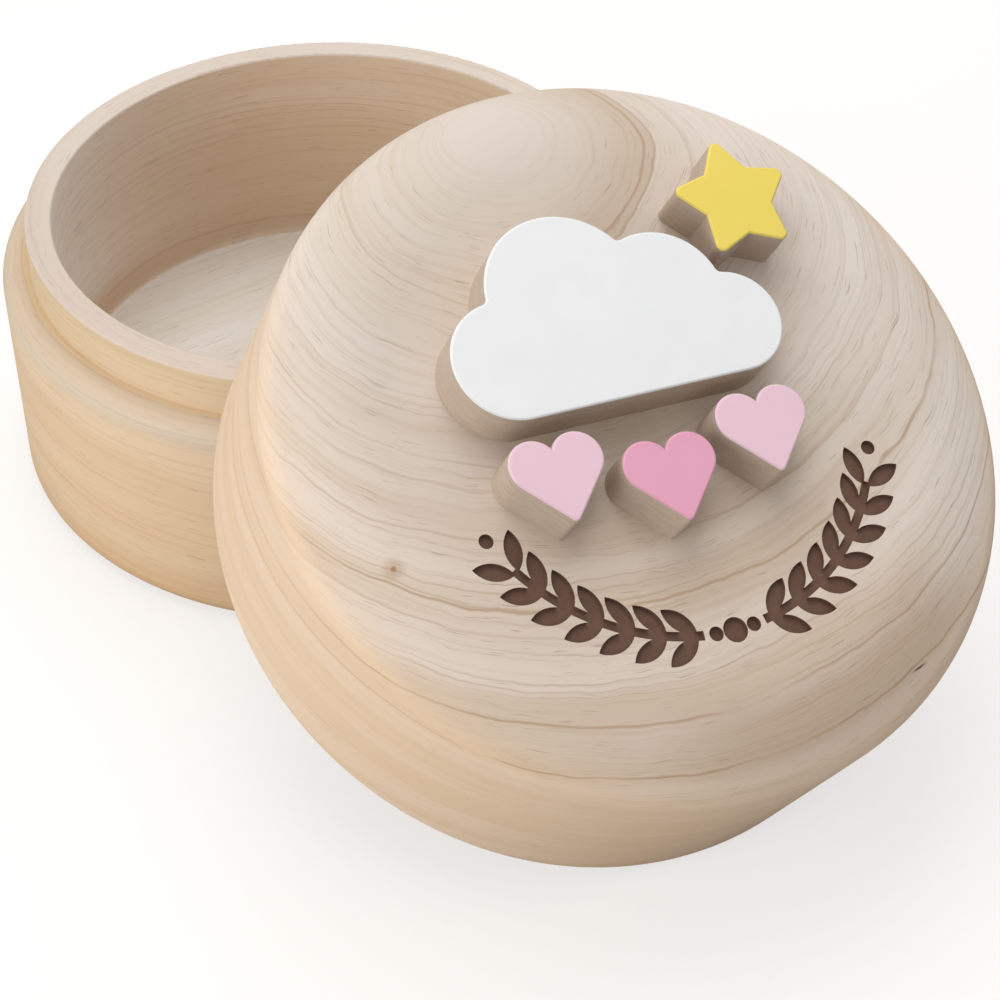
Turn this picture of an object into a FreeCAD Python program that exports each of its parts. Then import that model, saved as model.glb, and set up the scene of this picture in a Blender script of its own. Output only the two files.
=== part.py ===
import FreeCAD, Part
import math
import os
import Sketcher
from FreeCAD import Placement, Rotation, Vector

# A round wooden keepsake box: a turned bowl with a stepped rim, and a turned lid that has been taken off
# and leans on the bowl. Painted wooden cut-outs are glued on the lid, and a garland is engraved in it.
# Millimetres, +Z up, origin at the middle of the bowl's underside. The lid leans towards -Y.

# Driving dimensions: millimetres, degrees, counts, and shares of another size
SIZES = {
    # Bowl
    "base_radius": 35.0,
    "foot_inset": 0.3,
    "foot_round": 2.5,
    "base_height": 30.7,
    "shoulder_width": 3.05,
    "shoulder_round": 2.2,
    "spigot_height": 4.8,
    "rim_wall": 2.85,
    "rim_round": 0.25,
    "bowl_floor": 6.0,
    "bowl_corner_round": 0.8,
    # Lid, a little wider than the bowl, and widest below its top edge
    "skirt_overhang": 0.8,
    "belly_swell": 0.3,
    "lid_height": 26.0,
    "top_edge_width": 10.0,
    "top_edge_drop": 4.0,
    "top_edge_radius": 2.2,
    "lid_top_thickness": 7.0,
    "lid_fit_clearance": 0.3,
    "hollow_corner_round": 3.0,
    "skirt_round": 0.6,
    "mouth_round": 0.3,
    # Lean of the lid: how far up its mouth the bowl's rim meets it, and the gap left where they touch
    "lean_contact_share": 0.762,
    "lean_clearance": 0.1,
    # Engraved garland on the lid, turned clockwise from the lid's way up the slope
    "decor_turn": 10.0,
    "engraving_depth": 0.5,
    "garland_inset": 4.8,
    "stem_width": 0.9,
    "stem_start_angle": 8.4,
    "stem_end_angle": 59.0,
    "leaf_pairs": 7,
    "leaf_start_angle": 10.0,
    "leaf_step_angle": 8.0,
    "leaf_slant_angle": 38.0,
    "leaf_length": 4.0,
    "leaf_width": 1.7,
    "middle_berry_radius": 1.2,
    "small_berry_radius": 0.7,
    "small_berry_angle": 5.2,
    "end_berry_angle": 68.5,
    # Cut-outs, placed to the right of and above the lid's middle, the way the garland is turned
    "cutout_thickness": 5.0,
    "cutout_edge_round": 0.25,
    "cloud_width": 33.0,
    "cloud_height": 18.7,
    "cloud_right": -3.0,
    "cloud_up": 10.0,
    "cloud_notch_round": 0.6,
    "star_radius": 6.6,
    "star_tip_round": 0.7,
    "star_right": 13.8,
    "star_up": 17.4,
    "heart_width": 9.2,
    "heart_height": 8.4,
    "heart_tip_round": 0.5,
    "heart_spacing": 10.4,
    "heart_row_right": -2.6,
    "heart_row_up": -5.4,
    "middle_heart_drop": 2.4,
}

# Puffs of the cloud, left to right: middle across, middle up and radius, as shares of the cloud's
# width, height and height. The outer two puffs rest on the cloud's straight lower edge.
CLOUD_PUFF_SHARES = {
    "left": (-0.318, 0.31, 0.31),
    "tall": (-0.097, 0.583, 0.417),
    "middle": (0.176, 0.476, 0.342),
    "right": (0.352, 0.267, 0.267),
}
STAR_POINTS = 5
STAR_INNER_SHARE = 0.56
HEART_LOBE_SHARE = 0.27
ROUND_LIMIT_SHARE = 0.8
MATCH_TOLERANCE_SHARE = 1e-5

QUARTER_TURN_ANGLE = 90

# Ends of a line or an arc in a sketch, and the middle of an arc, in the order in which a sketch counts them
START, END, MIDDLE = range(1, 4)

doc = FreeCAD.newDocument("keepsake_box")


class Size:
    """A number together with the sheet formula that gives it."""

    def __init__(self, value, formula=None):
        self.value = float(value)
        self.formula = formula or repr(self.value)

    def __add__(self, other):
        other = as_size(other)
        return Size(self.value + other.value, f"({self.formula} + {other.formula})")

    def __sub__(self, other):
        other = as_size(other)
        return Size(self.value - other.value, f"({self.formula} - {other.formula})")

    def __mul__(self, other):
        other = as_size(other)
        return Size(self.value * other.value, f"({self.formula} * {other.formula})")

    def __truediv__(self, other):
        other = as_size(other)
        return Size(self.value / other.value, f"({self.formula} / {other.formula})")


def as_size(number):
    return number if isinstance(number, Size) else Size(number)


def sine(angle):
    return Size(math.sin(math.radians(angle.value)), f"sin({angle.formula} * 1 deg)")


def cosine(angle):
    return Size(math.cos(math.radians(angle.value)), f"cos({angle.formula} * 1 deg)")


def polar(radius, angle):
    return radius * cosine(angle), radius * sine(angle)


def smaller(first, second):
    return Size(min(first.value, second.value), f"min({first.formula}; {second.formula})")


def make_sheet():
    """The spreadsheet of driving dimensions, and the same sizes by name."""
    sheet = doc.addObject("Spreadsheet::Sheet", "Sizes")
    for row, (name, value) in enumerate(SIZES.items(), start=1):
        sheet.set(f"A{row}", name)
        sheet.set(f"B{row}", str(value))
        sheet.setAlias(f"B{row}", name)
    doc.recompute()
    return {name: Size(value, f"Sizes.{name}") for name, value in SIZES.items()}


size = make_sheet()
ZERO = Size(0)

# Radii that follow from the base radius: the bowl's steps inwards, and the lid's fit over its rim
FOOT_RADIUS = size["base_radius"] - size["foot_inset"]
SPIGOT_RADIUS = size["base_radius"] - size["shoulder_width"]
BOWL_RADIUS = SPIGOT_RADIUS - size["rim_wall"]
MOUTH_RADIUS = SPIGOT_RADIUS + size["lid_fit_clearance"]
SKIRT_RADIUS = size["base_radius"] + size["skirt_overhang"]
BELLY_RADIUS = SKIRT_RADIUS + size["belly_swell"]
FLAT_TOP_RADIUS = BELLY_RADIUS - size["top_edge_width"]
GARLAND_RADIUS = FLAT_TOP_RADIUS - size["garland_inset"]


class Drawing:
    """A sketch on one of a body's own planes, whose points and radii are bound to the sheet."""

    def __init__(self, body, name, plane_role, rise=ZERO):
        self.sketch = body.newObject("Sketcher::SketchObject", name)
        plane = next(f for f in body.Origin.OriginFeatures if f.Role == plane_role)
        self.sketch.AttachmentSupport = [(plane, "")]
        self.sketch.MapMode = "FlatFace"
        self.sketch.setExpression("AttachmentOffset.Base.z", rise.formula)

    def bind(self, kind, *where, to):
        index = self.sketch.addConstraint(Sketcher.Constraint(kind, *where, to.value))
        self.sketch.setExpression(f"Constraints[{index}]", to.formula)

    def place(self, curve, end, point):
        self.bind("DistanceX", curve, end, to=point[0])
        self.bind("DistanceY", curve, end, to=point[1])

    def join(self, first, first_end, second, second_end, kind="Coincident"):
        self.sketch.addConstraint(Sketcher.Constraint(kind, first, first_end, second, second_end))

    def line(self, start, end):
        ends = [Vector(x.value, y.value, 0) for x, y in (start, end)]
        return self.sketch.addGeometry(Part.LineSegment(*ends))

    def arc(self, middle, radius, start_angle, end_angle):
        """An arc that runs anticlockwise from one angle, in radians, to the other."""
        circle = Part.Circle(Vector(middle[0].value, middle[1].value, 0), Vector(0, 0, 1), radius.value)
        return self.sketch.addGeometry(Part.ArcOfCircle(circle, start_angle, end_angle))

    def polygon(self, corners):
        lines = [self.line(a, b) for a, b in zip(corners, corners[1:] + corners[:1])]
        for index, corner in enumerate(corners):
            self.place(lines[index], START, corner)
            self.join(lines[index - 1], END, lines[index], START)

    def disc(self, middle, radius):
        circle = Part.Circle(Vector(middle[0].value, middle[1].value, 0), Vector(0, 0, 1), radius.value)
        curve = self.sketch.addGeometry(circle)
        self.place(curve, MIDDLE, middle)
        self.bind("Radius", curve, to=radius)

    def band(self, inner, outer, start, end):
        """A curved band about the origin between two radii and two angles."""
        arcs = []
        for radius in (inner, outer):
            curve = self.arc((ZERO, ZERO), radius, math.radians(start.value), math.radians(end.value))
            self.place(curve, START, polar(radius, start))
            self.place(curve, END, polar(radius, end))
            self.bind("Radius", curve, to=radius)
            arcs.append(curve)
        for angle, end_of_arc in ((start, START), (end, END)):
            side = self.line(polar(inner, angle), polar(outer, angle))
            self.join(side, START, arcs[0], end_of_arc)
            self.join(side, END, arcs[1], end_of_arc)

    def leaf(self, root, tip, radius):
        """A pointed leaf between two points, its two edges arcs of one radius."""
        along = Vector(tip[0].value - root[0].value, tip[1].value - root[1].value, 0)
        half = along.Length / 2
        across = Vector(-along.y, along.x, 0).normalize()
        back = math.sqrt(radius.value ** 2 - half ** 2)
        reach = math.asin(half / radius.value)
        edges = []
        for side in (1, -1):
            middle = Vector(root[0].value, root[1].value, 0) + along * 0.5 - across * (side * back)
            facing = math.atan2(side * across.y, side * across.x)
            edges.append(self.arc((Size(middle.x), Size(middle.y)), radius, facing - reach, facing + reach))
            self.bind("Radius", edges[-1], to=radius)
        # The first edge runs from tip to root and the second back again
        self.place(edges[1], START, root)
        self.place(edges[1], END, tip)
        self.join(edges[0], START, edges[1], END)
        self.join(edges[0], END, edges[1], START)


def new_body(label):
    body = doc.addObject("PartDesign::Body", label)
    body.Label = label
    return body


def turned(body, drawing):
    """A full turn of an outline about the body's Z axis."""
    feature = body.newObject("PartDesign::Revolution", f"{body.Label}_turning")
    feature.Profile = drawing.sketch
    feature.ReferenceAxis = (drawing.sketch, ["V_Axis"])
    feature.Angle = 360
    doc.recompute()
    return feature


def padded(body, drawing, thickness):
    feature = body.newObject("PartDesign::Pad", f"{body.Label}_sheet")
    feature.Profile = drawing.sketch
    feature.setExpression("Length", thickness.formula)
    doc.recompute()
    return feature


def engraved(body, feature):
    """Make a cutting feature the body's last one, and make sure that it took wood away."""
    before = body.Shape.Volume
    body.Tip = feature
    doc.recompute()
    if body.Shape.Volume >= before:
        raise RuntimeError(f"{feature.Name} cuts nothing")


def rounded(body, name, solid, edges, radius):
    """Round some edges of one of the body's features."""
    feature = body.newObject("PartDesign::Fillet", f"{body.Label}_{name}")
    feature.Base = (solid, edges)
    feature.setExpression("Radius", radius.formula)
    doc.recompute()
    return feature


def round_off(solid, label, edges, radius):
    """Round some edges of a solid that isn't a body."""
    feature = doc.addObject("Part::Fillet", label)
    feature.Label = label
    feature.Base = solid
    feature.Edges = [(int(name.removeprefix("Edge")), radius, radius) for name in edges]
    doc.recompute()
    return feature


def ring_edges(shape, *rings):
    """Names of a turned shape's circular edges at given radii and heights."""
    names = []
    for radius, height in rings:
        slack = radius.value * MATCH_TOLERANCE_SHARE
        for index, edge in enumerate(shape.Edges, start=1):
            curve = edge.Curve
            if not isinstance(curve, Part.Circle):
                continue
            if abs(curve.Radius - radius.value) < slack and abs(curve.Center.z - height.value) < slack:
                names.append(f"Edge{index}")
    return names


def upright_edges(shape, is_wanted):
    """Names of the edges that stand along Z and whose place across is wanted."""
    names = []
    for index, edge in enumerate(shape.Edges, start=1):
        first, last = edge.Vertexes[0].Point, edge.Vertexes[-1].Point
        if (first - last).cross(Vector(0, 0, 1)).Length < edge.Length * MATCH_TOLERANCE_SHARE:
            if is_wanted(first):
                names.append(f"Edge{index}")
    return names


def edge_names(shape, face):
    """Names, in a shape, of the edges of one of its faces."""
    return [f"Edge{i}" for i, edge in enumerate(shape.Edges, start=1) if any(map(edge.isSame, face.Edges))]


def top_face(shape):
    """Name of the flat face on top of a shape."""
    highest = max(shape.Faces, key=lambda face: face.CenterOfMass.z)
    index = next(i for i, face in enumerate(shape.Faces, start=1) if face.isSame(highest))
    return f"Face{index}"


def make_base_bowl():
    body = new_body("base_bowl")
    outer, spigot, inner = size["base_radius"], SPIGOT_RADIUS, BOWL_RADIUS
    rim, floor = size["base_height"], size["bowl_floor"]
    shoulder = rim - size["spigot_height"]
    drawing = Drawing(body, "bowl_outline", "XZ_Plane")
    drawing.polygon([
        (ZERO, ZERO),
        (FOOT_RADIUS, ZERO),
        (outer, shoulder),
        (spigot, shoulder),
        (spigot, rim),
        (inner, rim),
        (inner, floor),
        (ZERO, floor),
    ])
    solid = turned(body, drawing)
    ledge_round = smaller(size["shoulder_round"], (outer - spigot) * ROUND_LIMIT_SHARE)
    rim_round = smaller(size["rim_round"], (spigot - inner) * ROUND_LIMIT_SHARE / 2)
    corner_round = smaller(size["bowl_corner_round"], (rim - floor) * ROUND_LIMIT_SHARE)
    foot_round = smaller(size["foot_round"], shoulder * ROUND_LIMIT_SHARE)
    solid = rounded(body, "foot_round", solid, ring_edges(solid.Shape, (FOOT_RADIUS, ZERO)), foot_round)
    solid = rounded(body, "shoulder_round", solid, ring_edges(solid.Shape, (outer, shoulder)), ledge_round)
    solid = rounded(body, "corner_round", solid, ring_edges(solid.Shape, (inner, floor)), corner_round)
    rounded(body, "rim_round", solid, ring_edges(solid.Shape, (spigot, rim), (inner, rim)), rim_round)
    return body


def draw_lid_outline(drawing, hollow):
    """The lid's outline: mouth, skirt, a top edge of two arcs, and the flat top."""
    height = size["lid_height"]
    wide, drop, small = size["top_edge_width"], size["top_edge_drop"], size["top_edge_radius"]
    edge_foot = (BELLY_RADIUS, height - drop)
    flat_end = (FLAT_TOP_RADIUS, height)
    # The large arc that meets both the flat top and the small arc without a corner
    large = (wide * wide + drop * drop - wide * small * 2) / ((drop - small) * 2)
    small_middle = (BELLY_RADIUS - small, height - drop)
    large_middle = (FLAT_TOP_RADIUS, height - large)
    meeting = math.atan2(small_middle[1].value - large_middle[1].value, wide.value - small.value)

    top_and_hollow = [flat_end, (ZERO, height), (ZERO, hollow), (MOUTH_RADIUS, hollow)]
    corners = top_and_hollow + [(MOUTH_RADIUS, ZERO), (SKIRT_RADIUS, ZERO), edge_foot]
    lines = [drawing.line(a, b) for a, b in zip(corners, corners[1:])]
    for line, corner in zip(lines, corners):
        drawing.place(line, START, corner)
    for line, following in zip(lines, lines[1:]):
        drawing.join(line, END, following, START)
    side, top = lines[-1], lines[0]
    drawing.place(side, END, edge_foot)
    small_arc = drawing.arc(small_middle, small, 0, meeting)
    large_arc = drawing.arc(large_middle, large, meeting, math.pi / 2)
    drawing.join(small_arc, START, side, END)
    drawing.join(small_arc, MIDDLE, small_arc, START, kind="Horizontal")
    drawing.bind("Radius", small_arc, to=small)
    drawing.join(small_arc, END, large_arc, START, kind="Tangent")
    drawing.join(large_arc, END, top, START, kind="Tangent")


def pocketed(body, name, drawing):
    """Engrave a drawing on the lid's top into the wood."""
    pocket = body.newObject("PartDesign::Pocket", name)
    pocket.Profile = drawing.sketch
    pocket.setExpression("Length", size["engraving_depth"].formula)
    engraved(body, pocket)
    return pocket


def engrave_branch(body, side, down):
    """Half of the garland, a stem and its leaves, on the right (1) or the left (-1) of straight down."""
    name = "right" if side > 0 else "left"
    height, radius = size["lid_height"], GARLAND_RADIUS
    half_width = size["stem_width"] / 2
    ends = [down + size[n] * side for n in ("stem_start_angle", "stem_end_angle")][::side]
    stem = Drawing(body, f"stem_outline_{name}", "XY_Plane", rise=height)
    stem.band(radius - half_width, radius + half_width, *ends)
    pocketed(body, f"stem_{name}", stem)

    length, width, slant = size["leaf_length"], size["leaf_width"], size["leaf_slant_angle"]
    edge_radius = (length * length + width * width) / (width * 4)
    turn = down + size["leaf_start_angle"] * side
    leaves = Drawing(body, f"leaf_outline_{name}", "XY_Plane", rise=height)
    for outward in (1, -1):
        # The two leaves of a pair spring from the stem's own width, a little apart
        root = polar(radius + half_width * (outward / 2), turn)
        # A leaf slants from the stem's own direction, a quarter turn from the root's, to one side of it
        heading = turn + QUARTER_TURN_ANGLE * side - slant * (outward * side)
        reach = polar(length, heading)
        leaves.leaf(root, (root[0] + reach[0], root[1] + reach[1]), edge_radius)
    pair = pocketed(body, f"leaf_pair_{name}", leaves)
    pattern = body.newObject("PartDesign::PolarPattern", f"leaves_{name}")
    pattern.Originals = [pair]
    pattern.Axis = (leaves.sketch, ["N_Axis"])
    pattern.Reversed = side < 0
    pattern.setExpression("Angle", (size["leaf_step_angle"] * (size["leaf_pairs"] - 1)).formula)
    pattern.setExpression("Occurrences", size["leaf_pairs"].formula)
    engraved(body, pattern)


def engrave_berries(body, down):
    """Round berries at the middle of the garland and at its two ends."""
    berries = Drawing(body, "berry_outline", "XY_Plane", rise=size["lid_height"])
    berries.disc(polar(GARLAND_RADIUS, down), size["middle_berry_radius"])
    for angle in (size["small_berry_angle"], size["end_berry_angle"]):
        for side in (1, -1):
            berries.disc(polar(GARLAND_RADIUS, down + angle * side), size["small_berry_radius"])
    pocketed(body, "berries", berries)


def make_lid():
    body = new_body("lid")
    mouth, skirt = MOUTH_RADIUS, SKIRT_RADIUS
    hollow = size["lid_height"] - size["lid_top_thickness"]
    drawing = Drawing(body, "lid_outline", "XZ_Plane")
    draw_lid_outline(drawing, hollow)
    solid = turned(body, drawing)
    wall = skirt - mouth
    skirt_round = smaller(size["skirt_round"], wall * ROUND_LIMIT_SHARE / 2)
    mouth_round = smaller(size["mouth_round"], wall * ROUND_LIMIT_SHARE / 2)
    corner_round = smaller(size["hollow_corner_round"], hollow * ROUND_LIMIT_SHARE)
    solid = rounded(body, "skirt_round", solid, ring_edges(solid.Shape, (skirt, ZERO)), skirt_round)
    solid = rounded(body, "mouth_round", solid, ring_edges(solid.Shape, (mouth, ZERO)), mouth_round)
    rounded(body, "corner_round", solid, ring_edges(solid.Shape, (mouth, hollow)), corner_round)
    down = ZERO - size["decor_turn"] - QUARTER_TURN_ANGLE
    for side in (1, -1):
        engrave_branch(body, side, down)
    engrave_berries(body, down)
    return body


def make_cloud():
    """A cloud: round puffs on a straight lower edge, cut from one sheet."""
    width, height, thickness = size["cloud_width"], size["cloud_height"], size["cutout_thickness"]
    lower_edge = ZERO - height / 2
    puffs, middles = [], []
    for name, (across_share, up_share, radius_share) in CLOUD_PUFF_SHARES.items():
        middle = (width * across_share, lower_edge + height * up_share)
        puff = doc.addObject("Part::Cylinder", f"cloud_puff_{name}")
        puff.setExpression("Radius", (height * radius_share).formula)
        puff.setExpression("Height", thickness.formula)
        puff.setExpression("Placement.Base.x", middle[0].formula)
        puff.setExpression("Placement.Base.y", middle[1].formula)
        puffs.append(puff)
        middles.append(middle)
    # Everything between the puffs' middles and the straight lower edge is solid
    core = new_body("cloud_core")
    outline = Drawing(core, "cloud_core_outline", "XY_Plane")
    outline.polygon(middles + [(middles[-1][0], lower_edge), (middles[0][0], lower_edge)])
    padded(core, outline, thickness)
    sheet = doc.addObject("Part::MultiFuse", "cloud_sheet")
    sheet.Shapes = puffs + [core]
    sheet.Refine = True
    doc.recompute()
    # The notches are the upright edges between puffs, above the middle of the lowest puff
    lowest_notch = min(up.value for across, up in middles) + height.value * MATCH_TOLERANCE_SHARE
    notches = upright_edges(sheet.Shape, lambda p: p.y > lowest_notch)
    softened = round_off(sheet, "cloud_notches", notches, SIZES["cloud_notch_round"])
    face = softened.Shape.getElement(top_face(softened.Shape))
    return round_off(softened, "cloud_cutout", edge_names(softened.Shape, face), SIZES["cutout_edge_round"])


def make_star():
    body = new_body("star_cutout")
    outer = size["star_radius"]
    inner = outer * STAR_INNER_SHARE
    corners = []
    for step in range(2 * STAR_POINTS):
        angle = Size(QUARTER_TURN_ANGLE * (1 + step * 2 / STAR_POINTS))
        radius = inner if step % 2 else outer
        corners.append((radius * cosine(angle), radius * sine(angle)))
    drawing = Drawing(body, "star_outline", "XY_Plane")
    drawing.polygon(corners)
    solid = padded(body, drawing, size["cutout_thickness"])
    halfway = (outer.value + inner.value) / 2
    tips = upright_edges(solid.Shape, lambda p: math.hypot(p.x, p.y) > halfway)
    solid = rounded(body, "tip_round", solid, tips, size["star_tip_round"])
    rounded(body, "edge_round", solid, [top_face(solid.Shape)], size["cutout_edge_round"])
    return body


def make_heart(label):
    """A heart: two round lobes and two straight sides that leave them without a corner."""
    body = new_body(label)
    lobe = size["heart_width"] * HEART_LOBE_SHARE
    offset = size["heart_width"] / 2 - lobe
    lobes_up = size["heart_height"] / 2 - lobe
    tip = (ZERO, ZERO - size["heart_height"] / 2)
    drop = lobes_up.value - tip[1].value
    reach = math.hypot(offset.value, drop)
    # Angle, seen from the right lobe's middle, where a line from the tip just touches the lobe
    touch = math.atan2(-drop, -offset.value) + math.acos(lobe.value / reach)
    notch = math.acos(-offset.value / lobe.value)
    drawing = Drawing(body, f"{label}_outline", "XY_Plane")
    right = drawing.arc((offset, lobes_up), lobe, touch, notch)
    left = drawing.arc((ZERO - offset, lobes_up), lobe, math.pi - notch, math.pi - touch)
    for curve, middle in ((right, offset), (left, ZERO - offset)):
        drawing.place(curve, MIDDLE, (middle, lobes_up))
        drawing.bind("Radius", curve, to=lobe)
    touch_across = offset.value + lobe.value * math.cos(touch)
    touch_up = lobes_up.value + lobe.value * math.sin(touch)
    right_side = drawing.line(tip, (Size(touch_across), Size(touch_up)))
    left_side = drawing.line(tip, (Size(-touch_across), Size(touch_up)))
    drawing.join(right, END, left, START)
    drawing.place(right_side, START, tip)
    drawing.join(left_side, START, right_side, START)
    drawing.join(right_side, END, right, START, kind="Tangent")
    drawing.join(left_side, END, left, END, kind="Tangent")
    solid = padded(body, drawing, size["cutout_thickness"])
    tip_edge = upright_edges(solid.Shape, lambda p: p.y < lobes_up.value - lobe.value)
    solid = rounded(body, "tip_round", solid, tip_edge[:1], size["heart_tip_round"])
    rounded(body, "edge_round", solid, [top_face(solid.Shape)], size["cutout_edge_round"])
    return body


def lid_placement():
    """The lid's place as it leans: its lower edge on the floor, its mouth against the bowl's rim."""
    skirt, spigot, mouth = SKIRT_RADIUS.value, SPIGOT_RADIUS.value, MOUTH_RADIUS.value
    edge, rim = SIZES["skirt_round"], SIZES["base_height"]
    contact = mouth * SIZES["lean_contact_share"]
    # The lid stands on its rounded lower edge, whose middle lies inside the skirt's slightly flared side
    flare = SIZES["belly_swell"] / (SIZES["lid_height"] - SIZES["top_edge_drop"])
    foot = skirt + edge * (flare - math.hypot(1, flare))
    # The tilt at which the rim's plane meets the mouth at that height while the lower edge is at zero
    lever = foot + contact
    tilt = math.asin((rim - edge) / math.hypot(lever, edge)) + math.atan2(edge, lever)
    rise = foot * math.sin(tilt) - edge * math.cos(tilt) + edge
    # The rim's circle and the mouth's circle then meet at two points, one on each side
    tight_mouth = mouth - SIZES["lean_clearance"]
    away = contact * math.cos(tilt) + math.sqrt(contact ** 2 - tight_mouth ** 2 + spigot ** 2)
    return Placement(Vector(0, -away, rise), Rotation(Vector(1, 0, 0), math.degrees(tilt)))


def on_lid(right, up):
    """A place on top of the lid, right of and above its middle, the way the garland is turned."""
    turn = Placement(Vector(0, 0, SIZES["lid_height"]), Rotation(Vector(0, 0, 1), -SIZES["decor_turn"]))
    return lid_placement() * turn * Placement(Vector(right, up, 0), Rotation())


def make_parts():
    parts = [make_base_bowl()]
    lid = make_lid()
    lid.Placement = lid_placement()
    cloud = make_cloud()
    cloud.Placement = on_lid(SIZES["cloud_right"], SIZES["cloud_up"])
    star = make_star()
    star.Placement = on_lid(SIZES["star_right"], SIZES["star_up"])
    parts += [lid, cloud, star]
    for place, name in enumerate(("left", "middle", "right"), start=-1):
        heart = make_heart(f"heart_cutout_{name}")
        right = SIZES["heart_row_right"] + place * SIZES["heart_spacing"]
        up = SIZES["heart_row_up"] - (SIZES["middle_heart_drop"] if name == "middle" else 0)
        heart.Placement = on_lid(right, up)
        parts.append(heart)
    doc.recompute()
    return parts


def check(parts):
    for item in doc.Objects:
        if "Invalid" in item.State or "Error" in item.State:
            raise RuntimeError(f"{item.Name} failed: {item.State}")
    for part in parts:
        if part.Shape.isNull() or not part.Shape.isValid():
            raise RuntimeError(f"{part.Label} has no valid shape")
        if len(part.Shape.Solids) != 1:
            raise RuntimeError(f"{part.Label} is not one solid")


parts = make_parts()
check(parts)
os.makedirs("parts", exist_ok=True)
for part in parts:
    part.Shape.exportStep(f"parts/{part.Label}.step")
    print(part.Label, round(part.Shape.Volume, 1), "mm3")
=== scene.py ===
import math
from collections import defaultdict, namedtuple

import bpy
from mathutils import Matrix, Vector


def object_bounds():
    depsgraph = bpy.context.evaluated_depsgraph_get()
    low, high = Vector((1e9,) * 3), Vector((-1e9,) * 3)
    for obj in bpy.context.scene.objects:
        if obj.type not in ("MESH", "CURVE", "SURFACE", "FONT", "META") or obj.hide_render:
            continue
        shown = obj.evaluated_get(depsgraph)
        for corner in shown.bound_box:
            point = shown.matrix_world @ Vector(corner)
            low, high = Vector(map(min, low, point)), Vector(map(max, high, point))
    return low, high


# The looks of a round wooden keepsake box: bare turned wood, painted cut-outs and an engraved garland.
# Metres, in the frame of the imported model. Inside a material, places are in millimetres.

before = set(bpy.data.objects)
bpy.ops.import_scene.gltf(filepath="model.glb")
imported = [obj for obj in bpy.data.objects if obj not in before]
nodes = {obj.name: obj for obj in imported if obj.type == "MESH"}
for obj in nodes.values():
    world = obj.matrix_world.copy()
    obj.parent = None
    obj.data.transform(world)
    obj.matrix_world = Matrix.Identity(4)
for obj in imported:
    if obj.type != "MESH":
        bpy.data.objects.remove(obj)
cad_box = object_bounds()

MILLIMETRE = 0.001
WHITE = (1.0, 1.0, 1.0, 1.0)

# Camera, at the photograph's angle
CAMERA_TARGET = Vector((0.0015, -0.0316, 0.0098))
CAMERA_AZIMUTH = -34.17
CAMERA_ELEVATION = 41.24
CAMERA_DISTANCE = 0.2824
CAMERA_LENS = 96.3
CAMERA_SENSOR = 36.0

# Studio: an even light from all sides, and softboxes at the left, above and behind
ROOM_LEVEL = 0.47
Softbox = namedtuple("Softbox", "name azimuth elevation distance width level colour")
SOFTBOXES = (
    Softbox("left_light", -82, 15, 0.30, 0.22, 0.49, (1.0, 0.99, 0.97)),
    Softbox("top_light", -150, 80, 0.40, 0.30, 0.35, (1.0, 1.0, 1.0)),
    Softbox("back_light", 140, 55, 0.30, 0.20, 0.26, (0.96, 0.98, 1.0)),
)

# The studio's floor: its size in metres, its greys, and its glow near the box and far from it, where
# the distances are in millimetres
FLOOR_HALF_WIDTH = 3.0
FLOOR_GAP = 0.02 * MILLIMETRE
FLOOR_GREY = (0.60, 0.60, 0.60, 1.0)
FLOOR_SEEN_GREY = (0.37, 0.355, 0.335, 1.0)
FLOOR_FAR_GREY = (0.0, 0.0, 0.0, 1.0)
FLOOR_GLOW, FLOOR_FAR_GLOW = 0.65, 1.0
FLOOR_NEAR, FLOOR_FAR = 130.0, 280.0


def linear(red, green, blue):
    """A colour given in display values from 0 to 255, as a shader's linear colour."""
    shares = [value / 255 for value in (red, green, blue)]
    return (*[s / 12.92 if s <= 0.04045 else ((s + 0.055) / 1.055) ** 2.4 for s in shares], 1.0)


Wood = namedtuple("Wood", "pale tan line pore")


def wood_of(*tones):
    """A wood from its two tones, the tone of its growth lines and that of its pores, in display values."""
    return Wood(*[linear(*tone) for tone in tones])


# Bare woods and paints
HEART_WOOD = wood_of((221, 208, 196), (217, 202, 186), (191, 164, 137), (153, 129, 108))
FACE_WOOD = wood_of((231, 215, 200), (219, 199, 179), (188, 160, 128), (148, 123, 99))
# Paler, cooler wood for the lid's right side: partly sapwood, partly painted light
SAP_AND_LIGHT_WOOD = wood_of((238, 226, 215), (231, 217, 203), (196, 171, 143), (155, 131, 108))
LID_SIDE_WOOD = wood_of((233, 207, 180), (228, 200, 169), (213, 185, 153), (184, 155, 124))
# Painted shade: darker, browner wood on the lid's roll towards the front
ROLL_SHADE_WOOD = wood_of((216, 197, 180), (206, 183, 161), (182, 152, 120), (146, 120, 95))
SIDE_WOOD = wood_of((230, 205, 173), (226, 195, 160), (206, 175, 140), (176, 145, 113))
SHOULDER_WOOD = wood_of((215, 199, 178), (211, 190, 166), (197, 171, 141), (174, 144, 115))
# Painted shade: darker, warmer wood at the bowl's foot
FOOT_SHADE_WOOD = wood_of((221, 190, 152), (216, 182, 142), (199, 165, 128), (171, 139, 106))
SPIGOT_WOOD = wood_of((225, 203, 173), (221, 196, 160), (195, 161, 117), (166, 134, 99))
RIM_WOOD = wood_of((217, 204, 191), (212, 196, 182), (196, 175, 154), (164, 144, 126))
INNER_WOOD = wood_of((237, 234, 232), (232, 227, 222), (205, 188, 172), (163, 140, 125))
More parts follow.
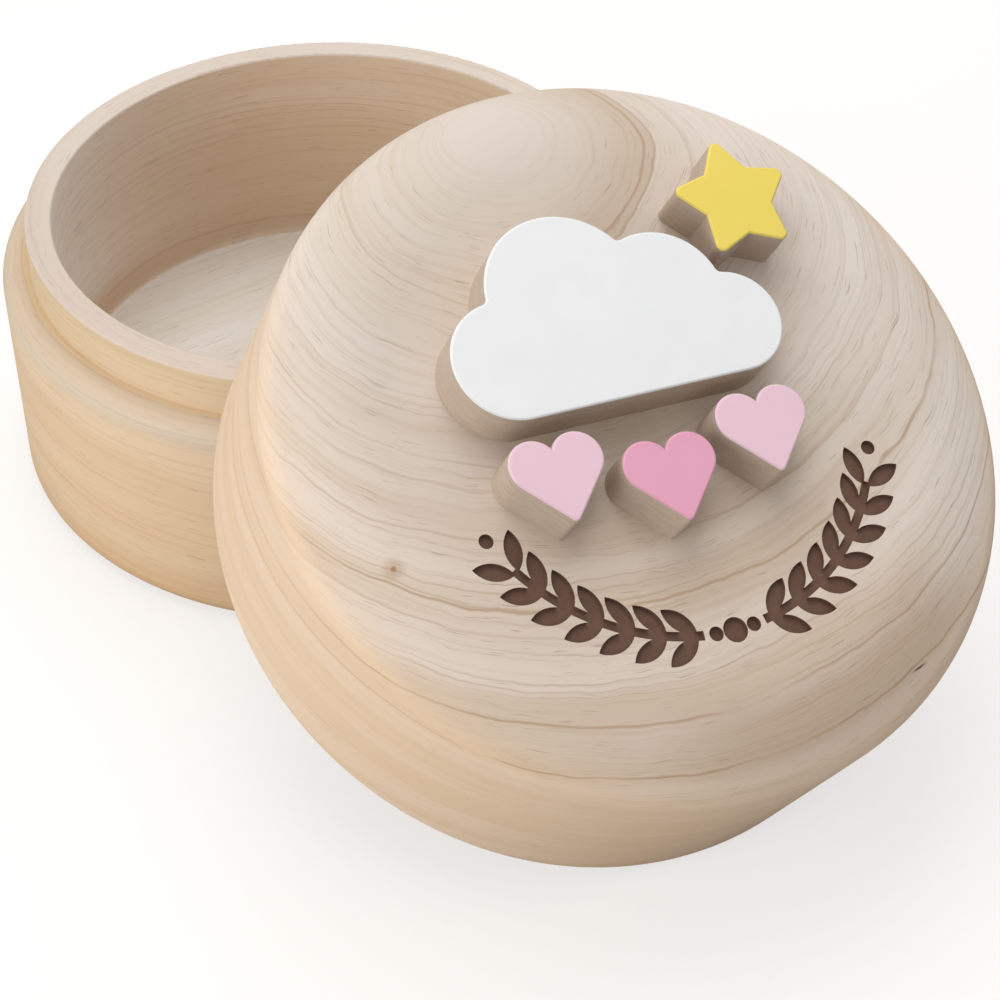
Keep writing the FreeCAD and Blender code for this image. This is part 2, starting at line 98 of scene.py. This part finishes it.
# Also painted warm light on one side of the bowl's inner wall
BROWN_WOOD = wood_of((219, 197, 173), (214, 188, 161), (194, 161, 129), (157, 127, 102))
BOWL_FLOOR_WOOD = wood_of((232, 226, 218), (228, 220, 209), (205, 192, 174), (155, 139, 124))
STRONG_LINE = linear(182, 148, 112)
BURNT_WOOD = linear(122, 91, 76)
CHARRED_WOOD = linear(114, 85, 72)
KNOT_WOOD = linear(163, 122, 84)
CRACKED_WOOD = linear(92, 74, 58)
EDGE_WOOD = linear(193, 176, 160)
EDGE_WOOD_DARK = linear(186, 168, 151)
WHITE_PAINT = linear(249, 249, 249)
YELLOW_PAINT = linear(251, 225, 107)
LIGHT_PINK_PAINT = linear(247, 210, 222)
DEEP_PINK_PAINT = linear(242, 175, 199)
WOOD_ROUGHNESS = 0.62
PAINT_ROUGHNESS = 0.5
SHEEN = 0.25

# Marks of the grain, in millimetres: how wide they are across the rings, and how far they reach along them.
# A mark shows where its noise rises from one level to another, and covers a share of the wood's colour.
Mark = namedtuple("Mark", "width reach detail start full share")
BANDS = Mark(6.0, 70.0, 1.0, 0.35, 0.65, 1.0)
LINES = Mark(2.4, 45.0, 2.0, 0.44, 0.66, 0.46)
FIBRES = Mark(0.45, 24.0, 1.0, 0.48, 0.70, 0.18)
PORES = Mark(0.11, 3.0, 0.0, 0.73, 0.81, 0.42)
LINE_GAP = 1.25
LINE_WARP = 5.0
LINE_START = 0.72
FIBRE_RELIEF = 0.015

# How the rings waver, in slow and quick waves: their size and their reach to each side, in millimetres
Sway = namedtuple("Sway", "size reach")
BOWL_SWAYS = Sway(28.0, 0.6), Sway(6.0, 0.25)
BOWL_FLOOR_SWAYS = Sway(28.0, 0.8), Sway(6.0, 0.25)
LID_SWAYS = Sway(28.0, 0.9), Sway(4.5, 0.6)

# The bowl's turned steps and its floor, in millimetres. Outside, the wood is darker and warmer at the
# foot, a painted shade, and greyer on the shoulder. Inside, it is browner to one side, a painted warm
# light, and near the floor.
BOWL_INSIDE_RADIUS = 29.1
GROOVE_RADIUS = 32.4
FOOT_SHADE_START, FOOT_SHADE_FULL = 12.0, 2.0
SHOULDER_START, SHOULDER_FULL = 22.3, 24.5
RIM_START, RIM_FULL = 30.45, 30.6
BOWL_FLOOR_HEIGHT = 6.0
WARM_LIGHT_AZIMUTH = 115
WARM_LIGHT_START, WARM_LIGHT_FULL = -28.0, 20.0
BROWN_BAND_START, BROWN_BAND_FULL = 14.0, 8.0
STEP_START, STEP_FULL = 0.4, 0.1

# Growth rings of the lid's wood: their middle on the lid's top, how fast they widen down its sides,
# and the strongest rings, all in the lid's own millimetres.
PITH = (0.7, 33.8)
PITH_RADIUS = 3.0
PITH_REACH = 15.0
RING_SLOPE = 1.6
RING_WIDTH = 0.28
HEART_RINGS = (17.4, 16.4)
STRONG_RINGS = (50.2, 61.6, 68.2)
RING_SHARE = 0.65
HEART_SHARE = 0.38
HEART_START, HEART_FULL = -6.0, 8.0
RING_FADING_SIZE = 12.0
RING_FADING_START, RING_FADING_FULL = 0.28, 0.5

# Where the lid's wood changes, in the same millimetres: from ring to ring; to one side of its heart, paler
# and cooler, partly sapwood and partly painted light; on the roll of its edge towards an azimuth, darker
# with painted shade; and down its sides
PALE_RING, WARM_RING = 24.0, 50.0
SAP_AND_LIGHT_START, SAP_AND_LIGHT_FULL = 6.0, 30.0
ROLL_SHADE_AZIMUTH = 5
ROLL_SHADE_EDGE_COSINE, ROLL_SHADE_FULL_COSINE = 0.78, 0.97
ROLL_SHADE_START, ROLL_SHADE_FULL = 25.5, 29.5
FACE_DEPTH, SIDE_DEPTH = 0.9, 3.2

# A knot and a crack in the lid's top edge, in the lid's own millimetres
KNOT = (-29.7, -3.0)
KNOT_HALO, KNOT_HALO_CORE, KNOT_HALO_SHARE = 1.4, 0.3, 0.35
KNOT_EYE, KNOT_EYE_CORE, KNOT_EYE_SHARE = 0.35, 0.15, 0.5
CRACK_START = (10.3, -31.6)
CRACK_END = (13.0, -31.2)
CRACK_EDGE, CRACK_CORE = 0.14, 0.04
FAULT_DEPTH, FAULT_FADE = 8.0, 1.0

# The engraving in the lid's flat top: how far below the top its burnt wood starts and ends, in millimetres
FLAT_TOP_RADIUS, FLAT_TOP_FADE = 26.1, 0.2
ENGRAVING_START, ENGRAVING_FULL = 0.02, 0.06
ENGRAVING_LOW, ENGRAVING_END = 1.0, 1.2
CHAR_SCALE, CHAR_DETAIL = 1.2, 4.0
CHAR_START, CHAR_FULL = 0.3, 0.75

# Paint on the cut-outs. A surface is painted where it faces as the lid's top does, and its rounded
# corner is darker, a painted shade against the light it catches. The scales of the noises are waves
# for each millimetre.
FACE_START, FACE_FULL = 0.25, 0.45
BEVEL_SHADE_START, BEVEL_SHADE_FULL = 0.99, 0.8
COAT_SCALE, COAT_DETAIL = 0.25, 3.0
COAT_START, COAT_FULL = 0.2, 0.9
COAT_SHADE_SHARE, BEVEL_SHADE_SHARE = 0.97, 0.88
BRUSH_SCALE, BRUSH_DETAIL, BRUSH_RELIEF = 3.0, 3.0, 0.01
EDGE_SCALE, EDGE_LAYER_SCALE = 0.4, 3.0
EDGE_START, EDGE_FULL = 0.35, 0.65


class Graph:
    """A tree of shader nodes. Each step takes sockets or plain values and returns a socket."""

    def __init__(self, tree):
        self.tree = tree

    def feed(self, socket, value):
        if isinstance(value, bpy.types.NodeSocket):
            self.tree.links.new(value, socket)
        else:
            socket.default_value = value

    def step(self, kind, *inputs, **settings):
        made = self.tree.nodes.new(kind)
        for name, value in settings.items():
            setattr(made, name, value)
        for socket, value in zip(made.inputs, inputs):
            if value is not None:
                self.feed(socket, value)
        return made

    def math(self, operation, *values):
        return self.step("ShaderNodeMath", *values, operation=operation).outputs[0]

    def add(self, first, second):
        return self.math("ADD", first, second)

    def subtract(self, first, second):
        return self.math("SUBTRACT", first, second)

    def times(self, first, second):
        return self.math("MULTIPLY", first, second)

    def scaled(self, value, factor, offset=0.0):
        return self.math("MULTIPLY_ADD", value, factor, offset)

    def distance(self, first, second):
        return self.math("ABSOLUTE", self.subtract(first, second))

    def smooth(self, value, low, high):
        """Zero below low, one above high, and a smooth rise between. Low may be the larger of the two."""
        rise = self.step("ShaderNodeMapRange", value, low, high, 0.0, 1.0, interpolation_type="SMOOTHSTEP")
        return rise.outputs[0]

    def mixed(self, share, first, second):
        mix = self.step("ShaderNodeMix", data_type="RGBA")
        self.feed(mix.inputs["Factor"], share)
        self.feed(mix.inputs[6], first)
        self.feed(mix.inputs[7], second)
        return mix.outputs[2]

    def split(self, vector):
        return self.step("ShaderNodeSeparateXYZ", vector).outputs

    def joined(self, x, y, z):
        return self.step("ShaderNodeCombineXYZ", x, y, z).outputs[0]

    def length(self, x, y, z=0.0):
        made = self.step("ShaderNodeVectorMath", self.joined(x, y, z), operation="LENGTH")
        return made.outputs["Value"]

    def dot(self, vector, direction):
        made = self.step("ShaderNodeVectorMath", vector, direction, operation="DOT_PRODUCT")
        return made.outputs["Value"]

    def noise(self, vector, scale=1.0, detail=2.0):
        made = self.step("ShaderNodeTexNoise")
        self.feed(made.inputs["Vector"], vector)
        made.inputs["Scale"].default_value = scale
        made.inputs["Detail"].default_value = detail
        return made.outputs[0]

    def coordinate(self, kind):
        return self.step("ShaderNodeTexCoord").outputs[kind]

    def seen_by(self, kind):
        return self.step("ShaderNodeLightPath").outputs[f"Is {kind} Ray"]


class Surface(Graph):
    """A material of one surface."""

    def __init__(self, name, sheen=SHEEN):
        self.material = bpy.data.materials.new(name)
        self.material.use_nodes = True
        super().__init__(self.material.node_tree)
        self.shader = self.tree.nodes["Principled BSDF"]
        self.shader.inputs["Specular IOR Level"].default_value = sheen

    def place(self, origin=(0, 0, 0), turn=(0, 0, 0)):
        """The place on the piece, in millimetres from an origin and turned."""
        mapping = self.step("ShaderNodeMapping", self.coordinate("Object"), origin, turn, (MILLIMETRE,) * 3)
        mapping.vector_type = "TEXTURE"
        return mapping.outputs[0]

    def facing(self, direction):
        """How far a surface faces a direction, from one to minus one."""
        return self.dot(self.coordinate("Normal"), direction)

    def relief(self, height, depth):
        """Fine relief of a height from zero to one, over a depth in millimetres."""
        bump = self.step("ShaderNodeBump")
        bump.inputs["Distance"].default_value = depth * MILLIMETRE
        self.feed(bump.inputs["Height"], height)
        self.feed(self.shader.inputs["Normal"], bump.outputs[0])

    def finish(self, colour, roughness):
        self.feed(self.shader.inputs["Base Color"], colour)
        self.shader.inputs["Roughness"].default_value = roughness
        return self.material


def blended(surface, share, first, second):
    """A wood between two woods."""
    return Wood(*[surface.mixed(share, one, other) for one, other in zip(first, second)])


def swayed(surface, ring, place, sways):
    """Rings that waver a little, as a tree grows them."""
    for wave in sways:
        offset = surface.scaled(surface.noise(place, 1 / wave.size), 2 * wave.reach, -wave.reach)
        ring = surface.add(ring, offset)
    return ring


def grain(surface, ring, place, wood):
    """Colour of bare wood and height of its fibres, from the distance across its rings and the place."""
    x, y, z = surface.split(place)

    def spread(mark):
        across = surface.scaled(ring, 1 / mark.width)
        along = surface.scaled(x, 1 / mark.reach), surface.scaled(y, 1 / mark.reach)
        return surface.noise(surface.joined(across, *along), detail=mark.detail)

    def shown(mark, level):
        return surface.scaled(surface.smooth(level, mark.start, mark.full), mark.share)

    bands, fibres, pores = spread(BANDS), spread(FIBRES), shown(PORES, spread(PORES))
    seasons = surface.scaled(surface.add(ring, surface.scaled(bands, LINE_WARP)), 1 / LINE_GAP)
    late = surface.smooth(surface.math("FRACT", seasons), LINE_START, 1.0)
    lines = surface.times(late, shown(LINES, spread(LINES)))
    colour = surface.mixed(shown(BANDS, bands), wood.pale, wood.tan)
    for cover, tone in ((lines, wood.line), (shown(FIBRES, fibres), wood.line), (pores, wood.pore)):
        colour = surface.mixed(cover, colour, tone)
    return colour, surface.subtract(fibres, pores)


def bowl_wood():
    """Wood of the bowl: streaks round its sides, shoulder and rim, and straight along its floor."""
    surface = Surface("bowl_wood_visual")
    place = surface.place()
    x, y, z = surface.split(place)
    radius = surface.length(x, y)

    def within(value, step):
        return surface.smooth(value, step + STEP_START, step + STEP_FULL)

    inside = within(radius, BOWL_INSIDE_RADIUS)
    # Painted warm light: the inner wall towards this azimuth is browner, as the lamp from the left lights
    # it
    warm_lit_side = surface.smooth(surface.dot(place, towards(WARM_LIGHT_AZIMUTH, 0)), WARM_LIGHT_START, WARM_LIGHT_FULL)
    brown_band = surface.smooth(z, BROWN_BAND_START, BROWN_BAND_FULL)
    inner_wood = blended(surface, surface.math("MAXIMUM", warm_lit_side, brown_band), INNER_WOOD, BROWN_WOOD)
    # Painted shade: darker and warmer towards the foot
    wood = blended(surface, surface.smooth(z, FOOT_SHADE_START, FOOT_SHADE_FULL), SIDE_WOOD, FOOT_SHADE_WOOD)
    wood = blended(surface, surface.smooth(z, SHOULDER_START, SHOULDER_FULL), wood, SHOULDER_WOOD)
    wood = blended(surface, within(radius, GROOVE_RADIUS), wood, SPIGOT_WOOD)
    wood = blended(surface, inside, wood, inner_wood)
    wood = blended(surface, surface.smooth(z, RIM_START, RIM_FULL), wood, RIM_WOOD)
    ring = swayed(surface, surface.subtract(radius, z), place, BOWL_SWAYS)
    colour, height = grain(surface, ring, place, wood)
    floor_colour = grain(surface, swayed(surface, y, place, BOWL_FLOOR_SWAYS), place, BOWL_FLOOR_WOOD)[0]
    floor = surface.times(inside, within(z, BOWL_FLOOR_HEIGHT))
    foot = within(z, 0.0)
    surface.relief(height, FIBRE_RELIEF)
    flat = surface.math("MAXIMUM", floor, foot)
    return surface.finish(surface.mixed(flat, colour, floor_colour), WOOD_ROUGHNESS)


LidFrame = namedtuple("LidFrame", "origin tilt axis height")


def find_lid():
    """The lid's own frame, from its mesh: its axis is square to its flat top, through its middle."""
    mesh = nodes["lid"].data
    areas = defaultdict(float)
    for polygon in mesh.polygons:
        if polygon.normal.z > 0:
            areas[tuple(round(c, 3) for c in polygon.normal)] += polygon.area
    axis = Vector(max(areas, key=areas.get)).normalized()
    tilt = math.atan2(-axis.y, axis.z)
    flat = [Matrix.Rotation(-tilt, 3, "X") @ vertex.co for vertex in mesh.vertices]
    low, high = (Vector(pick(v[i] for v in flat) for i in range(3)) for pick in (min, max))
    middle = Vector(((low.x + high.x) / 2, (low.y + high.y) / 2, low.z))
    origin = Matrix.Rotation(tilt, 3, "X") @ middle
    return LidFrame(origin, tilt, axis, (high.z - low.z) / MILLIMETRE)


def outside_heart(surface, ring):
    """Zero in the darker heart of the lid's wood, and one outside it."""
    heart = max(HEART_RINGS)
    return surface.smooth(ring, heart - RING_WIDTH, heart)


def with_rings(surface, colour, ring, place):
    """The lid's strongest rings, and to one side the darker heart inside the innermost of them."""
    one_side = surface.smooth(surface.split(place)[0], HEART_START, HEART_FULL)
    heart = max(HEART_RINGS)
    inside = surface.smooth(ring, heart, heart - RING_WIDTH)
    shade = surface.times(surface.times(inside, surface.smooth(ring, heart / 2, heart)), one_side)
    colour = surface.mixed(surface.scaled(shade, HEART_SHARE), colour, FACE_WOOD.line)
    fading = surface.smooth(surface.noise(place, 1 / RING_FADING_SIZE), RING_FADING_START, RING_FADING_FULL)
    for radii, strength in ((HEART_RINGS, one_side), (STRONG_RINGS, fading)):
        for radius in radii:
            line = surface.times(surface.smooth(surface.distance(ring, radius), RING_WIDTH, 0.0), strength)
            colour = surface.mixed(surface.scaled(line, RING_SHARE), colour, STRONG_LINE)
    return colour


def with_faults(surface, colour, x, y, near_top):
    """A small knot and a short crack near the lid's edge."""
    from_knot = surface.length(surface.subtract(x, KNOT[0]), surface.subtract(y, KNOT[1]))
    halo = surface.scaled(surface.smooth(from_knot, KNOT_HALO, KNOT_HALO_CORE), KNOT_HALO_SHARE)
    eye = surface.scaled(surface.smooth(from_knot, KNOT_EYE, KNOT_EYE_CORE), KNOT_EYE_SHARE)
    colour = surface.mixed(surface.times(surface.add(halo, eye), near_top), colour, KNOT_WOOD)
    run = Vector(CRACK_END) - Vector(CRACK_START)
    middle = (Vector(CRACK_START) + Vector(CRACK_END)) / 2
    from_middle = surface.joined(surface.subtract(x, middle.x), surface.subtract(y, middle.y), 0.0)
    along = surface.math("ABSOLUTE", surface.dot(from_middle, (*run.normalized(), 0.0)))
    across = surface.math("ABSOLUTE", surface.dot(from_middle, (*run.normalized().orthogonal(), 0.0)))
    narrow = surface.smooth(across, CRACK_EDGE, CRACK_CORE)
    crack = surface.times(surface.smooth(along, run.length / 2, 0.0), narrow)
    return surface.mixed(surface.times(crack, near_top), colour, CRACKED_WOOD)


def lid_wood(lid):
    """Wood of the lid: rings about a pith near its top edge, and an engraving burnt brown."""
    surface = Surface("lid_wood_visual")
    place = surface.place(lid.origin, (lid.tilt, 0, 0))
    x, y, z = surface.split(place)
    depth = surface.subtract(lid.height, z)
    deeper = surface.scaled(depth, RING_SLOPE)
    from_pith = surface.length(surface.subtract(x, PITH[0]), surface.subtract(y, PITH[1]), deeper)
    ring = swayed(surface, surface.add(from_pith, deeper), place, LID_SWAYS)
    warm = surface.smooth(ring, PALE_RING, WARM_RING)
    side = surface.times(surface.smooth(depth, FACE_DEPTH, SIDE_DEPTH), warm)
    face_wood = blended(surface, warm, HEART_WOOD, FACE_WOOD)
    # Paler and cooler towards the right outside the heart: partly sapwood, partly painted light
    sap_and_light = surface.times(surface.smooth(x, SAP_AND_LIGHT_START, SAP_AND_LIGHT_FULL), outside_heart(surface, ring))
    face_wood = blended(surface, sap_and_light, face_wood, SAP_AND_LIGHT_WOOD)
    radius = surface.length(x, y)
    # Painted shade: the roll of the edge towards the front is darker and browner
    ahead = surface.math("DIVIDE", surface.dot(place, towards(ROLL_SHADE_AZIMUTH, 0)), radius)
    ahead = surface.smooth(ahead, ROLL_SHADE_EDGE_COSINE, ROLL_SHADE_FULL_COSINE)
    roll_shade = surface.times(ahead, surface.smooth(radius, ROLL_SHADE_START, ROLL_SHADE_FULL))
    face_wood = blended(surface, roll_shade, face_wood, ROLL_SHADE_WOOD)
    colour, height = grain(surface, ring, place, blended(surface, side, face_wood, LID_SIDE_WOOD))
    colour = surface.mixed(surface.smooth(ring, PITH_REACH, PITH_RADIUS), colour, HEART_WOOD.pale)
    colour = with_rings(surface, colour, ring, place)
    near_top = surface.smooth(depth, FAULT_DEPTH + FAULT_FADE, FAULT_DEPTH)
    colour = with_faults(surface, colour, x, y, near_top)
    below_top = surface.smooth(depth, ENGRAVING_START, ENGRAVING_FULL)
    sunk = surface.times(below_top, surface.smooth(depth, ENGRAVING_END, ENGRAVING_LOW))
    on_top = surface.smooth(radius, FLAT_TOP_RADIUS, FLAT_TOP_RADIUS - FLAT_TOP_FADE)
    scorch = surface.smooth(surface.noise(place, CHAR_SCALE, CHAR_DETAIL), CHAR_START, CHAR_FULL)
    burnt = surface.mixed(scorch, BURNT_WOOD, CHARRED_WOOD)
    surface.relief(height, FIBRE_RELIEF)
    return surface.finish(surface.mixed(surface.times(sunk, on_top), colour, burnt), WOOD_ROUGHNESS)


def shaded(colour, share):
    """A darker tone of a colour."""
    return (*[channel * share for channel in colour[:3]], 1.0)


def painted(name, paint, lid):
    """Matte paint on a cut-out's face, darker on its rounded corner as painted shade, and bare wood on its
    sawn edges.
    """
    surface = Surface(name)
    place = surface.place(lid.origin, (lid.tilt, 0, 0))
    facing = surface.facing(lid.axis)
    x, y, z = surface.split(place)
    along = surface.scaled(x, EDGE_SCALE), surface.scaled(y, EDGE_SCALE)
    layers = surface.noise(surface.joined(*along, surface.scaled(z, EDGE_LAYER_SCALE)))
    edge = surface.mixed(surface.smooth(layers, EDGE_START, EDGE_FULL), EDGE_WOOD, EDGE_WOOD_DARK)
    patches = surface.smooth(surface.noise(place, COAT_SCALE, COAT_DETAIL), COAT_START, COAT_FULL)
    coat = surface.mixed(patches, paint, shaded(paint, COAT_SHADE_SHARE))
    # Painted shade: the rounded corner is darker, against the light it catches
    corner = surface.smooth(facing, BEVEL_SHADE_START, BEVEL_SHADE_FULL)
    coat = surface.mixed(corner, coat, shaded(paint, BEVEL_SHADE_SHARE))
    surface.relief(surface.noise(place, BRUSH_SCALE, BRUSH_DETAIL), BRUSH_RELIEF)
    face = surface.smooth(facing, FACE_START, FACE_FULL)
    return surface.finish(surface.mixed(face, edge, coat), PAINT_ROUGHNESS)


def dress(name, material):
    slots = nodes[name].data.materials
    slots.clear()
    slots.append(material)


def towards(azimuth, elevation):
    """The direction of something that stands at an azimuth from the front and an elevation, in degrees."""
    turn, rise = math.radians(azimuth), math.radians(elevation)
    return Vector((math.sin(turn) * math.cos(rise), -math.cos(turn) * math.cos(rise), math.sin(rise)))


def stand(name, data, back, distance):
    """A camera or a lamp at a distance from the middle of the picture, turned to it."""
    made = bpy.data.objects.new(name, data)
    made.location = CAMERA_TARGET + back * distance
    made.rotation_euler = (-back).to_track_quat("-Z", "Y").to_euler()
    bpy.context.scene.collection.objects.link(made)
    return made


def add_camera():
    data = bpy.data.cameras.new("camera")
    data.lens = CAMERA_LENS
    data.sensor_width = CAMERA_SENSOR
    back = towards(CAMERA_AZIMUTH, CAMERA_ELEVATION)
    bpy.context.scene.camera = stand("camera", data, back, CAMERA_DISTANCE)


def add_softbox(box):
    """A square lamp that faces the object. At level one it lights a colour as written."""
    data = bpy.data.lights.new(box.name, "AREA")
    data.size = box.width
    data.energy = box.level * (math.pi * box.distance) ** 2
    data.color = box.colour
    stand(box.name, data, towards(box.azimuth, box.elevation), box.distance)


def add_room():
    """An even light from all sides. The camera sees it white."""
    world = bpy.data.worlds.new("room")
    world.use_nodes = True
    graph = Graph(world.node_tree)
    seen = graph.seen_by("Camera")
    background = world.node_tree.nodes["Background"]
    background.inputs["Color"].default_value = WHITE
    graph.feed(background.inputs["Strength"], graph.scaled(seen, 1.0 - ROOM_LEVEL, ROOM_LEVEL))
    bpy.context.scene.world = world


def add_floor():
    """A white floor, with a glow for the camera that keeps it white and its shadows pale."""
    half = FLOOR_HALF_WIDTH
    mesh = bpy.data.meshes.new("floor")
    corners = [(-half, -half, 0), (half, -half, 0), (half, half, 0), (-half, half, 0)]
    mesh.from_pydata(corners, [], [range(len(corners))])
    floor = bpy.data.objects.new("floor", mesh)
    floor.location.z = cad_box[0].z - FLOOR_GAP
    bpy.context.scene.collection.objects.link(floor)
    surface = Surface("floor_white", sheen=0.0)
    seen = surface.seen_by("Camera")
    surface.shader.inputs["Emission Color"].default_value = WHITE
    x, y, z = surface.split(surface.place())
    far = surface.smooth(surface.length(x, y), FLOOR_NEAR, FLOOR_FAR)
    glow = surface.scaled(far, FLOOR_FAR_GLOW - FLOOR_GLOW, FLOOR_GLOW)
    surface.feed(surface.shader.inputs["Emission Strength"], surface.times(seen, glow))
    seen_grey = surface.mixed(far, FLOOR_SEEN_GREY, FLOOR_FAR_GREY)
    mesh.materials.append(surface.finish(surface.mixed(seen, FLOOR_GREY, seen_grey), 1.0))


bpy.context.scene.view_settings.view_transform = "Standard"
lid = find_lid()
light_pink = painted("light_pink_paint_visual", LIGHT_PINK_PAINT, lid)
dress("base_bowl", bowl_wood())
dress("lid", lid_wood(lid))
dress("cloud_cutout", painted("white_paint_visual", WHITE_PAINT, lid))
dress("star_cutout", painted("yellow_paint_visual", YELLOW_PAINT, lid))
dress("heart_cutout_left", light_pink)
dress("heart_cutout_middle", painted("deep_pink_paint_visual", DEEP_PINK_PAINT, lid))
dress("heart_cutout_right", light_pink)
add_camera()
add_room()
add_floor()
for box in SOFTBOXES:
    add_softbox(box)
